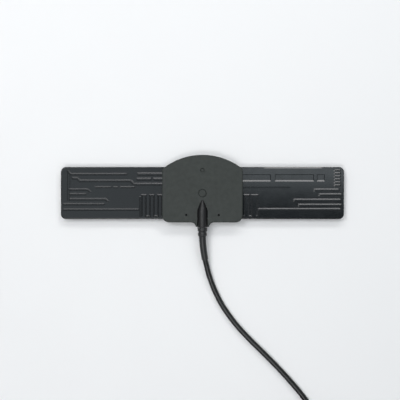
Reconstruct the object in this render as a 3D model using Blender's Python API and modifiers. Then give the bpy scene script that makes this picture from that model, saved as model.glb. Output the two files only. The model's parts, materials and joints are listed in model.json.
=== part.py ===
"""Flat bar television antenna: a long panel, a hub across its middle and a coaxial lead.

The antenna lies on its back. +X runs along the panel, +Y points away from the lead and +Z is up.
The origin is on the floor under the middle of the panel and hub. Sizes are in millimetres, and MM
turns them into Blender's metres.
"""
import math

import bmesh
import bpy
from mathutils import Matrix, Vector

MM = 0.001
GAP = 0.3
NAME = "television_antenna"

# Panel
PANEL_HALF_LENGTH = 140.0
PANEL_LOW_Y = -27.8
PANEL_HIGH_Y = 23.8
PANEL_CORNER = 5.0
PANEL_BOTTOM = 4.5
PANEL_TOP = 7.7
PANEL_WALL = 1.6
PANEL_SKIN = 1.2
BACK_PLATE = 1.1
RIDGE_TOP = PANEL_TOP + 0.5
RIDGE_ROOT = 0.6
RIDGE_WIDTH = 1.6
WINDOW = (26.0, -14.0, 18.0)

# Hub
HUB_HALF_WIDTH = 39.7
HUB_ARC = 63.3
HUB_ARC_CENTRE = -27.7
HUB_SHOULDER = 4.0
HUB_BOTTOM_Y = -31.0
HUB_CORNER = 7.0
NECK_HALF_WIDTH = 6.7
NECK_FLARE = 4.2
NECK_END_Y = -35.3
BASE_BOTTOM = 0.5
BASE_TOP = 4.2
BASE_FLOOR = 2.0
BASE_WALL = 1.8
COVER_BOTTOM = 4.5
COVER_TOP = 12.0
COVER_WALL = 1.6
COVER_BEVEL = 0.7

# Cable bulge on the hub's face, along the lead's exit
EXIT_Z = 10.8
BULGE_RADIUS = 4.9
BULGE_END_Y = -35.6
BULGE_SHOULDER_Y = -19.3
BULGE_TIP_Y = -6.9
CHANNEL_RADIUS = 3.2
CHANNEL_TIP_Y = -8.5

# Fasteners, feet and marks on the hub
SCREW_PLACES = ((-16.0, 27.8), (16.0, 27.8), (-30.0, -21.0), (30.0, -21.0))
PASSAGE_RADIUS = 3.6
POST_RADIUS = 2.9
PILOT_RADIUS = 1.3
SEAT_RADIUS = 4.2
SCREW_WAY_RADIUS = 1.5
SCREW_RECESS_RADIUS = 2.8
SCREW_RECESS_TOP = 2.6
FOOT_PLACES = ((-31.0, 13.0), (31.0, 13.0), (-16.5, -24.5), (16.5, -24.5))
FOOT_RADIUS = 4.0
FOOT_RECESS_TOP = 1.3
PIN_HOLE_RADIUS = 1.0
PIN_HOLES = ((-16.0, -23.7), (16.0, -23.7))
SMALL_MARK = (0.0, 20.4, 2.1)
LARGE_MARK = (0.0, -2.2, 4.1)
MARK_GROOVE = 0.35

# Balun board
BOARD = (-21.0, 21.0, -11.5, 15.5)
BOARD_BOTTOM = 4.6
BOARD_TOP = 5.6
BOARD_SCREWS = ((-17.0, 12.0), (17.0, -8.5))
BOARD_HOLE_RADIUS = 1.1
BOARD_POST_RADIUS = 2.4
BOARD_PILOT_RADIUS = 1.0
WINDING_TURNS = 6
WIRE_RADIUS = 0.22
CORE_CENTRE = (0.0, 6.0, 7.9)
CORE_RADIUS = 3.0
CORE_HALF_DEPTH = 0.95
WINDING_REACH = 1.9

# Antenna elements
ELEMENT_BOTTOM = 5.9
ELEMENT_TOP = 6.2
FEED_X = 23.7

# Strain relief: centre line points and the radius at each. It leaves the neck straight, then bends.
RELIEF = (
    ((0.0, -33.6, 10.8), 2.9),
    ((0.0, -35.85, 10.8), 2.9),
    ((0.0, -35.9, 10.8), 4.75),
    ((0.0, -39.6, 10.8), 4.75),
    ((0.0, -40.2, 10.8), 4.1),
    ((0.0, -41.6, 10.8), 4.1),
    ((0.0, -42.2, 10.8), 4.4),
    ((0.0, -44.2, 10.75), 4.4),
    ((0.1, -45.2, 10.7), 3.5),
    ((0.3, -50.0, 10.4), 3.45),
    ((0.75, -55.0, 9.85), 3.4),
    ((1.35, -60.0, 9.0), 3.35),
    ((2.0, -64.2, 8.15), 3.3),
    ((2.55, -67.6, 7.45), 3.25),
)

# Lead
CABLE_RADIUS = 2.7
CABLE_STEP = 13.0
# Route points by hand, from the end of the strain relief to where the lead meets the coil.
LEAD_ROUTE = (
    (2.6, -67.9, 7.4),
    (4.1, -74.0, 6.0),
    (6.4, -83.0, 4.3),
    (10.2, -94.0, 3.1),
    (14.4, -103.5, 2.7),
    (20.2, -114.4, 2.7),
    (29.6, -127.9, 2.7),
    (38.0, -138.0, 2.7),
    (48.5, -149.0, 2.7),
    (60.5, -160.8, 2.7),
    (73.5, -174.0, 2.7),
    (86.0, -187.5, 2.7),
    (97.5, -201.0, 2.8),
    (107.2, -213.6, 3.1),
)
COIL_CENTRE = (93.0, -256.0)
COIL_MEAN_RADIUS = 30.0
COIL_PITCH = 5.45
COIL_TURNS_ACROSS = 4
COIL_LIFT = 0.8
COIL_TOP = COIL_LIFT + COIL_PITCH + 2 * CABLE_RADIUS
COIL_EDGE = 1.6
TIE_ANGLE = 160.0
TIE_WIDTH = 7.0
TIE_THICKNESS = 0.5
TAIL_ROUTE = (
    (76.0, -298.0, 8.4),
    (69.0, -297.4, 7.9),
    (61.0, -296.4, 7.2),
    (53.0, -295.6, 6.8),
    (46.5, -295.4, 6.7),
)

# F connector: distances are measured along its axis from the end of the cable
PLUG_START = (46.0, -295.4, 6.7)
NUT_ACROSS_FLATS = 11.1
NUT_REAR = 20.6
NUT_FRONT = 31.6


def make_collections():
    """Empty the scene, then make a collection for the parts and one for the cutters."""
    for thing in list(bpy.data.objects):
        bpy.data.objects.remove(thing, do_unlink=True)
    made = []
    for title in (NAME, "cutters"):
        collection = bpy.data.collections.new(title)
        bpy.context.scene.collection.children.link(collection)
        made.append(collection)
    return made


PARTS, CUTTERS = make_collections()


def paint(name, colour, roughness, metallic=0.0):
    """A Principled material."""
    material = bpy.data.materials.new(name)
    material.use_nodes = True
    shader = material.node_tree.nodes["Principled BSDF"]
    shader.inputs["Base Color"].default_value = (*colour, 1.0)
    shader.inputs["Roughness"].default_value = roughness
    shader.inputs["Metallic"].default_value = metallic
    return material


def keep(thing, material):
    """File an object as one of the antenna's parts, with its material and shading."""
    PARTS.objects.link(thing)
    thing.data.materials.append(material)
    if thing.type == "MESH":
        thing.data.shade_smooth()
        thing.data.set_sharp_from_angle(angle=math.radians(35.0))
    return thing


def as_cutter(thing):
    """File an object as a cutter, seen only as wires in the viewport."""
    CUTTERS.objects.link(thing)
    thing.hide_render = True
    thing.display_type = "WIRE"
    return thing


def combine(thing, other, operation):
    """Cut another object from this one, or join it on."""
    modifier = thing.modifiers.new(other.name, "BOOLEAN")
    modifier.operation = operation
    modifier.solver = "EXACT"
    modifier.object = other


def cut(thing, *others):
    for other in others:
        combine(thing, as_cutter(other), "DIFFERENCE")


def join(thing, *others):
    for other in others:
        combine(thing, as_cutter(other), "UNION")


def from_bmesh(name, shape):
    """Turn a bmesh in millimetres into an object in metres."""
    bmesh.ops.scale(shape, vec=(MM, MM, MM), verts=shape.verts)
    mesh = bpy.data.meshes.new(name)
    shape.to_mesh(mesh)
    shape.free()
    return bpy.data.objects.new(name, mesh)


def box(name, x_range, y_range, z_range):
    """A block between two limits on each axis."""
    ranges = (x_range, y_range, z_range)
    shape = bmesh.new()
    bmesh.ops.create_cube(shape, size=1.0)
    bmesh.ops.scale(shape, vec=[high - low for low, high in ranges], verts=shape.verts)
    bmesh.ops.translate(shape, vec=[(low + high) / 2 for low, high in ranges], verts=shape.verts)
    return from_bmesh(name, shape)


def cone(name, start, end, start_radius, end_radius, segments=24):
    """A cylinder or cone between two points."""
    start = Vector(start)
    axis = Vector(end) - start
    turn = axis.to_track_quat("Z", "Y").to_matrix().to_4x4()
    shape = bmesh.new()
    bmesh.ops.create_cone(
        shape,
        cap_ends=True,
        segments=segments,
        radius1=start_radius,
        radius2=end_radius,
        depth=axis.length,
        matrix=Matrix.Translation(start + axis / 2) @ turn,
    )
    return from_bmesh(name, shape)


def disc(name, place, radius, z_range, segments=24):
    """An upright cylinder."""
    low, high = z_range
    return cone(name, (*place, low), (*place, high), radius, radius, segments)


def mesh_of(thing):
    """Replace a curve with its welded mesh, its triangles turned so that none is a sliver."""
    title = thing.name
    bpy.context.scene.collection.objects.link(thing)
    graph = bpy.context.evaluated_depsgraph_get()
    mesh = bpy.data.meshes.new_from_object(thing.evaluated_get(graph))
    shape = bmesh.new()
    shape.from_mesh(mesh)
    bmesh.ops.remove_doubles(shape, verts=shape.verts, dist=0.001 * MM)
    bmesh.ops.beautify_fill(shape, faces=shape.faces, edges=shape.edges)
    shape.to_mesh(mesh)
    shape.free()
    bpy.data.objects.remove(thing, do_unlink=True)
    return bpy.data.objects.new(title, mesh)


def plate(name, outlines, z_range):
    """A flat piece: its outer outline, then any holes, between two heights."""
    low, high = z_range
    curve = bpy.data.curves.new(name, "CURVE")
    curve.dimensions = "2D"
    curve.fill_mode = "BOTH"
    curve.extrude = (high - low) / 2 * MM
    for outline in outlines:
        line = curve.splines.new("POLY")
        line.points.add(len(outline) - 1)
        for point, (x, y) in zip(line.points, outline):
            point.co = (x * MM, y * MM, 0.0, 1.0)
        line.use_cyclic_u = True
    made = mesh_of(bpy.data.objects.new(name, curve))
    made.data.transform(Matrix.Translation((0, 0, (low + high) / 2 * MM)))
    return made


def turned(name, profile, place, axis, steps=32):
    """Turn a profile of (radius, distance along the axis), listed from the far end back."""
    shape = bmesh.new()
    points = [shape.verts.new((radius * MM, 0.0, along * MM)) for radius, along in profile]
    for first, second in zip(points, points[1:]):
        shape.edges.new((first, second))
    if profile[0][0] > 0.0 and profile[-1][0] > 0.0:
        shape.edges.new((points[-1], points[0]))
    mesh = bpy.data.meshes.new(name)
    shape.to_mesh(mesh)
    shape.free()
    thing = bpy.data.objects.new(name, mesh)
    screw = thing.modifiers.new("turn", "SCREW")
    screw.axis = "Z"
    screw.steps = steps
    screw.render_steps = steps
    screw.use_merge_vertices = True
    screw.merge_threshold = 0.01 * MM
    thing.location = Vector(place) * MM
    thing.rotation_mode = "QUATERNION"
    thing.rotation_quaternion = Vector(axis).to_track_quat("Z", "Y")
    return thing


def tube(name, points, radius, sides=2, radii=None):
    """A round wire through its points, with an optional radius at each."""
    curve = bpy.data.curves.new(name, "CURVE")
    curve.dimensions = "3D"
    curve.bevel_depth = radius * MM
    curve.bevel_resolution = sides
    curve.use_fill_caps = True
    line = curve.splines.new("POLY")
    line.points.add(len(points) - 1)
    for index, (point, place) in enumerate(zip(line.points, points)):
        point.co = (*(Vector(place) * MM), 1.0)
        if radii:
            point.radius = radii[index] / radius
    return bpy.data.objects.new(name, curve)


def arc(centre, radius, start, end, steps):
    """Points on an arc between two angles in degrees."""
    x, y = centre
    angles = [math.radians(start + (end - start) * i / steps) for i in range(steps + 1)]
    return [(x + radius * math.cos(a), y + radius * math.sin(a)) for a in angles]


def rectangle(x_range, y_range, corner, steps=5):
    """A rectangle with round corners, anticlockwise."""
    (x0, x1), (y0, y1) = x_range, y_range
    places = ((x1 - corner, y1 - corner), (x0 + corner, y1 - corner))
    places += ((x0 + corner, y0 + corner), (x1 - corner, y0 + corner))
    outline = []
    for quarter, place in enumerate(places):
        outline += arc(place, corner, 90 * quarter, 90 * quarter + 90, steps)
    return outline


def circle(place, radius, segments=20):
    return arc(place, radius, 0, 360, segments)[:-1]


def panel_outline(inset):
    x = PANEL_HALF_LENGTH - inset
    low, high = PANEL_LOW_Y + inset, PANEL_HIGH_Y - inset
    return rectangle((-x, x), (low, high), PANEL_CORNER - inset)


def hub_outline(inset):
    """The hub seen from above, drawn in by an inset; the right half is mirrored."""
    side = HUB_HALF_WIDTH - inset
    shoulder = HUB_SHOULDER - inset
    corner = HUB_CORNER - inset
    flare = NECK_FLARE + inset
    neck = NECK_HALF_WIDTH - inset
    bottom = HUB_BOTTOM_Y + inset
    end = NECK_END_Y + inset
    flare_y = bottom - flare
    flare_start = 180 - math.degrees(math.asin(max(0.0, (end - flare_y) / flare)))
    shoulder_x = side - shoulder
    reach = HUB_ARC - inset - shoulder
    rise = math.sqrt(reach**2 - shoulder_x**2)
    meeting = math.degrees(math.atan2(rise, shoulder_x))
    right = [(neck, end)] if end < flare_y else []
    right += arc((neck + flare, flare_y), flare, flare_start, 90, 5)
    right += arc((side - corner, bottom + corner), corner, -90, 0, 6)
    right += arc((shoulder_x, HUB_ARC_CENTRE + rise), shoulder, 0, meeting, 4)
    right += arc((0.0, HUB_ARC_CENTRE), HUB_ARC - inset, meeting, 90, 14)[1:]
    left = [(-x, y) for x, y in reversed(right[:-1])]
    return right + left


def smooth_route(route, step):
    """Points at an even step along a smooth curve through a route's own points."""
    places = [Vector(place) for place in route]
    places = [2 * places[0] - places[1]] + places + [2 * places[-1] - places[-2]]
    fine = []
    for a, b, c, d in zip(places, places[1:], places[2:], places[3:]):
        for i in range(20):
            t = i / 20
            pull = (c - a) * t + (2 * a - 5 * b + 4 * c - d) * t**2
            fine.append(b + (pull + (3 * b - a - 3 * c + d) * t**3) / 2)
    fine.append(places[-2])
    total = sum((b - a).length for a, b in zip(fine, fine[1:]))
    spacing = total / round(total / step)
    picked = [fine[0]]
    walked = 0.0
    for a, b in zip(fine, fine[1:]):
        walked += (b - a).length
        if walked >= spacing * len(picked) - 1e-6:
            picked.append(b)
    return picked


# Raised lines on the panel's face. Each is a path of (x, y) points.
LEFT_LINES = (
    ((-129.0, 17.5), (-74.1, 17.5)),
    ((-129.0, 13.4), (-123.6, 13.4), (-121.6, 10.9), (-71.0, 10.9), (-67.3, 7.6), (-40.1, 7.6)),
    ((-64.6, 17.9), (-40.1, 17.9)),
    ((-65.0, 12.7), (-40.1, 12.7)),
    ((-106.4, 4.4), (-67.0, 4.4)),
    ((-132.3, 2.7), (-113.4, 2.7), (-110.3, 0.4)),
    ((-131.9, -2.2), (-114.2, -2.2)),
    ((-132.1, -7.3), (-95.8, -7.3), (-92.3, -10.0)),
    ((-134.0, -12.3), (-96.3, -12.3)),
    ((-134.0, -17.4), (-62.3, -17.4)),
)
RIGHT_LINES = (
    ((109.5, 0.6), (111.2, 2.1), (135.5, 2.1)),
    ((114.8, -2.9), (137.0, -2.9)),
    ((89.6, -9.4), (91.2, -7.9), (137.0, -7.9)),
    ((94.6, -13.0), (137.0, -13.0)),
    ((54.5, -17.5), (137.0, -17.5)),
)
LEFT_MEANDER = (-60.0, -56.1, -51.9, -48.2)
LAST_LEG = -44.1
RIGHT_MEANDER = (42.5, 46.4, 50.3, 54.2)
MEANDER_SPAN = (-25.0, -3.4)
END_BARS = 6
END_BAR_SPAN = (130.0, 136.8)
END_BAR_FIRST_Y = 6.0
END_BAR_PITCH = 2.98

# Sunk channels in the panel's face: (x range, y range, depth). Two run in under the hub.
CHANNELS = (
    ((36.0, 67.5), (10.4, 16.6), 0.5),
    ((71.7, 110.2), (10.4, 16.6), 0.5),
    ((113.2, 120.8), (10.4, 16.6), 0.5),
    ((36.0, 86.5), (3.5, 4.5), 0.3),
    ((-133.4, -130.9), (-9.9, 19.4), 0.4),
)


def sideways(before, at, after, offset):
    """The point beside a path's corner, at an offset from both of its sides."""
    into = (at - before).normalized() if before else (after - at).normalized()
    out = (after - at).normalized() if after else into
    normal = Vector((-into.y - out.y, into.x + out.x)).normalized()
    return at + normal * offset / normal.dot(Vector((-into.y, into.x)))


def ribbon(path, width):
    """The outline of a line of some width along a path."""
    places = [Vector(place) for place in path]
    steps = list(zip([None] + places[:-1], places, places[1:] + [None]))
    left = [sideways(*step, width / 2) for step in steps]
    right = [sideways(*step, -width / 2) for step in steps]
    return [tuple(place) for place in right + left[::-1]]


def meander_paths(legs):
    """Square hoops between neighbouring legs, each a path open at its foot."""
    low, high = MEANDER_SPAN
    pairs = zip(legs[::2], legs[1::2])
    return [((a, low), (a, high), (b, high), (b, low)) for a, b in pairs]


def panel_lines():
    """Every raised line on the panel as an outline."""
    paths = list(LEFT_LINES + RIGHT_LINES)
    paths += meander_paths(LEFT_MEANDER) + meander_paths(RIGHT_MEANDER)
    paths.append([(LAST_LEG, y) for y in MEANDER_SPAN])
    for bar in range(END_BARS):
        y = END_BAR_FIRST_Y + bar * END_BAR_PITCH
        paths.append([(x, y) for x in END_BAR_SPAN])
    return [ribbon(path, RIDGE_WIDTH) for path in paths]


def window_outline():
    half, low, high = WINDOW
    return rectangle((-half, half), (low, high), 2.0, 3)


def screw_passages(name):
    """Cutters for the holes of the two hub screws that pass through the panel."""
    places = [place for place in SCREW_PLACES if place[1] < 0]
    heights = (PANEL_BOTTOM - 1.5, PANEL_TOP + 2.3)
    return [disc(f"{name}_{i}", place, PASSAGE_RADIUS, heights) for i, place in enumerate(places)]


def channel_cutters():
    """Cutters for the sunk channels in the panel's face."""
    cutters = []
    for number, (x_range, y_range, depth) in enumerate(CHANNELS):
        heights = (PANEL_TOP - depth, PANEL_TOP + 2.3)
        cutters.append(box(f"channel_{number}", x_range, y_range, heights))
    return cutters


def make_panel():
    gloss = paint("panel_gloss", (0.032, 0.038, 0.043), 0.22)
    front = keep(plate("panel_front", [panel_outline(0.0)], (PANEL_BOTTOM, PANEL_TOP)), gloss)
    hollow = plate("panel_hollow", [panel_outline(PANEL_WALL)], (PANEL_BOTTOM - 2, PANEL_TOP - PANEL_SKIN))
    opening = plate("panel_window", [window_outline()], (PANEL_BOTTOM - 3, RIDGE_TOP + 3))
    lines = plate("panel_lines", panel_lines(), (PANEL_TOP - RIDGE_ROOT, RIDGE_TOP))
    join(front, lines)
    cut(front, hollow, opening, *screw_passages("front_passage"), *channel_cutters())

    back_paint = paint("panel_back_plastic", (0.03, 0.034, 0.036), 0.5)
    inset = PANEL_WALL + GAP
    heights = (PANEL_BOTTOM, PANEL_BOTTOM + BACK_PLATE)
    back = keep(plate("panel_back", [panel_outline(inset), window_outline()], heights), back_paint)
    cut(back, *screw_passages("back_passage"))


def make_elements():
    """Two bow-tie halves of sheet metal, each with a tab that reaches the hub's board."""
    metal = paint("element_aluminium", (0.75, 0.76, 0.77), 0.3, 1.0)
    outline = [(137.0, 20.8), (37.0, 20.8), (31.0, 4.0), (22.2, 4.0)]
    outline += [(22.2, -4.0), (31.0, -4.0), (37.0, -24.8), (137.0, -24.8)]
    for side, title in ((-1, "left"), (1, "right")):
        half = [(side * x, y) for x, y in outline]
        hole = circle((side * FEED_X, 0.0), 1.2, 12)
        keep(plate(f"element_{title}", [half, hole], (ELEMENT_BOTTOM, ELEMENT_TOP)), metal)


def make_hub_cover():
    matt = paint("hub_matt_plastic", (0.052, 0.06, 0.056), 0.62)
    cover = plate("hub_cover", [hub_outline(0.0)], (COVER_BOTTOM, COVER_TOP))
    bevel = cover.modifiers.new("soft edge", "BEVEL")
    bevel.width = COVER_BEVEL * MM
    bevel.segments = 2
    bevel.limit_method = "ANGLE"
    bevel.angle_limit = math.radians(60.0)
    keep(cover, matt)
    exit_end = (0.0, BULGE_END_Y, EXIT_Z)
    shoulder = (0.0, BULGE_SHOULDER_Y, EXIT_Z)
    barrel = cone("bulge_barrel", exit_end, shoulder, BULGE_RADIUS, BULGE_RADIUS, 28)
    tip = cone("bulge_tip", shoulder, (0.0, BULGE_TIP_Y, EXIT_Z), BULGE_RADIUS, 0.1, 28)
    join(cover, barrel, tip)

    roof = COVER_TOP - COVER_WALL
    inside = plate("cover_inside", [hub_outline(COVER_WALL)], (COVER_BOTTOM - 2, roof))
    x = HUB_HALF_WIDTH + 5
    y_range = (PANEL_LOW_Y - GAP, PANEL_HIGH_Y + GAP)
    notch = box("cover_panel_notch", (-x, x), y_range, (COVER_BOTTOM - 3, PANEL_TOP + GAP))
    beyond = (0.0, BULGE_END_Y - 3, EXIT_Z)
    channel = cone("cable_channel", beyond, shoulder, CHANNEL_RADIUS, CHANNEL_RADIUS)
    taper = cone("channel_tip", shoulder, (0.0, CHANNEL_TIP_Y, EXIT_Z), CHANNEL_RADIUS, 0.1)
    cut(cover, inside, notch, channel, taper)

    for number, place in enumerate(SCREW_PLACES):
        join(cover, disc(f"cover_post_{number}", place, POST_RADIUS, (COVER_BOTTOM, roof + 0.5)))
        cut(cover, disc(f"post_pilot_{number}", place, PILOT_RADIUS, (COVER_BOTTOM - 2, roof - 0.6), 12))
    for number, place in enumerate(PIN_HOLES):
        cut(cover, disc(f"pin_hole_{number}", place, PIN_HOLE_RADIUS, (roof + 0.5, COVER_TOP + 2), 12))
    for title, (x, y, radius) in (("small", SMALL_MARK), ("large", LARGE_MARK)):
        rings = [circle((x, y), radius, 28), circle((x, y), radius - MARK_GROOVE, 28)]
        cut(cover, plate(f"{title}_mark", rings, (COVER_TOP - MARK_GROOVE, COVER_TOP + 2)))


def make_hub_base():
    matt = paint("base_matt_plastic", (0.045, 0.05, 0.048), 0.65)
    base = keep(plate("hub_base", [hub_outline(0.0)], (BASE_BOTTOM, BASE_TOP)), matt)
    cut(base, plate("base_inside", [hub_outline(BASE_WALL)], (BASE_FLOOR, BASE_TOP + 2)))
    # The seats stop a little short of the rim, so that the two halves meet only at the rim.
    seat_top = BASE_TOP - 0.2
    for number, place in enumerate(SCREW_PLACES):
        join(base, disc(f"base_seat_{number}", place, SEAT_RADIUS, (BASE_FLOOR - 0.5, seat_top)))
        cut(base, disc(f"screw_way_{number}", place, SCREW_WAY_RADIUS, (0.0, seat_top + 2), 16))
        recess = disc(f"screw_recess_{number}", place, SCREW_RECESS_RADIUS, (-1.0, SCREW_RECESS_TOP))
        cut(base, recess)
    for number, place in enumerate(BOARD_SCREWS):
        heights = (BASE_FLOOR - 0.5, BOARD_BOTTOM - GAP)
        join(base, disc(f"board_post_{number}", place, BOARD_POST_RADIUS, heights))
        heights = (BASE_FLOOR + 0.2, BOARD_BOTTOM + 1)
        cut(base, disc(f"board_pilot_{number}", place, BOARD_PILOT_RADIUS, heights, 12))
    for number, place in enumerate(FOOT_PLACES):
        cut(base, disc(f"foot_recess_{number}", place, FOOT_RADIUS + GAP, (-1.0, FOOT_RECESS_TOP)))


def make_feet():
    rubber = paint("foot_rubber", (0.02, 0.02, 0.02), 0.85)
    profile = [(0.0, 1.0), (FOOT_RADIUS, 1.0), (FOOT_RADIUS, 0.3), (FOOT_RADIUS - 0.3, 0.0), (0.0, 0.0)]
    for number, place in enumerate(FOOT_PLACES):
        keep(turned(f"rubber_foot_{number + 1}", profile, (*place, 0.0), (0, 0, 1), 24), rubber)


def make_screws():
    """Hub screws with their heads in the base's recesses, and screws that hold the board."""
    steel = paint("screw_steel", (0.5, 0.5, 0.5), 0.3, 1.0)
    hub_screw = [(0.0, 8.4), (0.3, 8.4), (1.0, 7.2), (1.0, 1.3), (2.4, 1.3), (2.4, 0.3)]
    hub_screw += [(2.1, 0.0), (1.0, 0.0), (1.0, 0.6), (0.0, 0.6)]
    for number, place in enumerate(SCREW_PLACES):
        keep(turned(f"hub_screw_{number + 1}", hub_screw, (*place, 1.0), (0, 0, 1), 16), steel)
    board_screw = [(0.0, 1.2), (0.6, 1.2), (1.7, 0.6), (1.7, 0.0), (0.7, 0.0), (0.7, -2.6), (0.0, -3.0)]
    for number, place in enumerate(BOARD_SCREWS):
        height = BOARD_TOP + GAP
        keep(turned(f"board_screw_{number + 1}", board_screw, (*place, height), (0, 0, 1), 16), steel)


def winding_route(per_turn=8):
    """Points of a wire wound round most of the core."""
    x, y, z = CORE_CENTRE
    last = WINDING_TURNS * per_turn
    points = []
    for index in range(last + 1):
        around = math.radians(-150 + 300 * index / last)
        twist = 2 * math.pi * index / per_turn
        reach = CORE_RADIUS + WINDING_REACH * math.cos(twist)
        height = z + WINDING_REACH * math.sin(twist)
        points.append((x + reach * math.cos(around), y + reach * math.sin(around), height))
    return points


def make_board():
    green = paint("board_laminate", (0.02, 0.11, 0.05), 0.4)
    x0, x1, y0, y1 = BOARD
    outlines = [rectangle((x0, x1), (y0, y1), 1.5, 2)]
    outlines += [circle(place, BOARD_HOLE_RADIUS, 12) for place in BOARD_SCREWS]
    keep(plate("balun_board", outlines, (BOARD_BOTTOM, BOARD_TOP)), green)

    ferrite = paint("core_ferrite", (0.05, 0.05, 0.055), 0.55)
    half = CORE_HALF_DEPTH
    outer, inner = CORE_RADIUS + half, CORE_RADIUS - half
    ring = [(inner, half), (outer, half), (outer, -half), (inner, -half)]
    keep(turned("balun_core", ring, CORE_CENTRE, (0, 0, 1), 28), ferrite)

    enamel = paint("winding_enamel", (0.45, 0.16, 0.05), 0.3, 0.8)
    keep(tube("balun_winding", winding_route(), WIRE_RADIUS, 1), enamel)

    ceramic = paint("capacitor_ceramic", (0.42, 0.3, 0.17), 0.45)
    low, high = BOARD_TOP + GAP, BOARD_TOP + GAP + 1.0
    for number, x in enumerate((-9.0, 9.0)):
        keep(box(f"chip_capacitor_{number + 1}", (x - 1.6, x + 1.6), (-5.2, -3.6), (low, high)), ceramic)


def make_feeds():
    """Spring strips from the board to the elements, each held by a rivet."""
    brass = paint("contact_brass", (0.72, 0.55, 0.25), 0.3, 1.0)
    high = ELEMENT_TOP + GAP
    low = BOARD_TOP + GAP
    for side, title in ((-1, "left"), (1, "right")):
        flat = sorted((side * 19.6, side * 25.2))
        foot = sorted((side * 14.0, side * 20.0))
        contact = keep(box(f"feed_contact_{title}", flat, (-2.0, 2.0), (high, high + 0.4)), brass)
        join(contact, box(f"contact_foot_{title}", foot, (-2.0, 2.0), (low, high + 0.2)))
        place = (side * FEED_X, 0.0)
        cut(contact, disc(f"contact_hole_{title}", place, 1.2, (low - 1, high + 2), 12))
        head, shank = 2.0, 0.9
        top = high + 0.4 + GAP
        bottom = ELEMENT_BOTTOM - GAP
        profile = [(0.0, top + 0.5), (head, top + 0.2), (head, top), (shank, top), (shank, bottom)]
        profile += [(head, bottom), (head, bottom - 0.4), (0.0, bottom - 0.4)]
        keep(turned(f"feed_rivet_{title}", profile, (*place, 0.0), (0, 0, 1), 16), brass)


def make_inner_coax():
    """The end of the coax inside the hub, stripped in steps down to its centre wire."""
    jacket = paint("coax_jacket", (0.03, 0.032, 0.034), 0.45)
    white = paint("coax_dielectric", (0.86, 0.86, 0.84), 0.4)
    copper = paint("coax_copper", (0.72, 0.32, 0.16), 0.3, 1.0)
    tinned = paint("coax_braid", (0.62, 0.6, 0.57), 0.4, 1.0)
    start = (0.0, -33.3, EXIT_Z)
    end = (0.0, -27.0, EXIT_Z)
    keep(cone("coax_stub", start, end, CABLE_RADIUS, CABLE_RADIUS, 20), jacket)
    route = [(0, -26.7, 10.8), (0, -20, 10.8), (0, -17, 10.6), (0, -14.2, 9.8)]
    route += [(0, -12.2, 8.8), (0, -10.2, 8.0), (0, -8.4, 7.7)]
    keep(tube("coax_dielectric", route, 1.5, 3), white)
    wire = [(0, -8.0, 7.7), (0, -6.4, 7.4), (0, -5.0, 6.5), (0, -4.2, 6.2), (0, -2.4, 6.2)]
    keep(tube("coax_conductor", wire, 0.25, 2), copper)
    braid = [(2.1, -26.7, 10.3), (2.5, -23, 9.7), (3.3, -17.5, 9.0), (3.8, -13.5, 8.6)]
    braid += [(4.0, -10.8, 7.2), (4.0, -9.0, 6.3), (4.0, -6.5, 6.3)]
    keep(tube("coax_braid_tail", braid, 0.4, 2), tinned)


def make_strain_relief():
    rubber = paint("relief_rubber", (0.028, 0.03, 0.032), 0.5)
    path = [place for place, _ in RELIEF]
    radii = [radius for _, radius in RELIEF]
    keep(tube("strain_relief", path, radii[0], 3, radii), rubber)


def coil_radii():
    """The coil's inner and outer radius."""
    half_across = (COIL_TURNS_ACROSS - 1) * COIL_PITCH / 2 + CABLE_RADIUS
    return COIL_MEAN_RADIUS - half_across, COIL_MEAN_RADIUS + half_across


def make_lead():
    """The uncoiled lengths as tubes, and the coil as one ring round all its turns."""
    jacket = paint("cable_jacket", (0.032, 0.035, 0.038), 0.45)
    keep(tube("coax_cable", smooth_route(LEAD_ROUTE, CABLE_STEP), CABLE_RADIUS, 3), jacket)
    inner, outer = coil_radii()
    low, high = COIL_LIFT, COIL_TOP
    soft = COIL_EDGE
    section = [(inner, high - soft), (inner + soft, high), (outer - soft, high), (outer, high - soft)]
    section += [(outer, low + soft), (outer - soft, low), (inner + soft, low), (inner, low + soft)]
    keep(turned("cable_coil", section, (*COIL_CENTRE, 0.0), (0, 0, 1), 40), jacket)
    keep(tube("cable_tail", smooth_route(TAIL_ROUTE, CABLE_STEP), CABLE_RADIUS, 3), jacket)


def make_tie():
    """A flat strap closed round the coil's turns, drawn lying down and then stood up."""
    strap = paint("tie_strap", (0.02, 0.02, 0.022), 0.7)
    inner, outer = coil_radii()
    sag = inner - math.sqrt(inner**2 - (TIE_WIDTH / 2) ** 2)
    loops = []
    for margin, corner in ((GAP + TIE_THICKNESS, 1.9), (GAP, 1.4)):
        x_range = (inner - sag - margin, outer + margin)
        loops.append(rectangle(x_range, (COIL_LIFT - margin, COIL_TOP + margin), corner, 3))
    tie = plate("coil_tie", loops, (-TIE_WIDTH / 2, TIE_WIDTH / 2))
    turn = Matrix.Rotation(math.radians(TIE_ANGLE), 4, "Z")
    stand = Matrix.Rotation(math.radians(90), 4, "X")
    move = Matrix.Translation((COIL_CENTRE[0] * MM, COIL_CENTRE[1] * MM, 0.0))
    tie.data.transform(move @ turn @ stand)
    keep(tie, strap)


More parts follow.
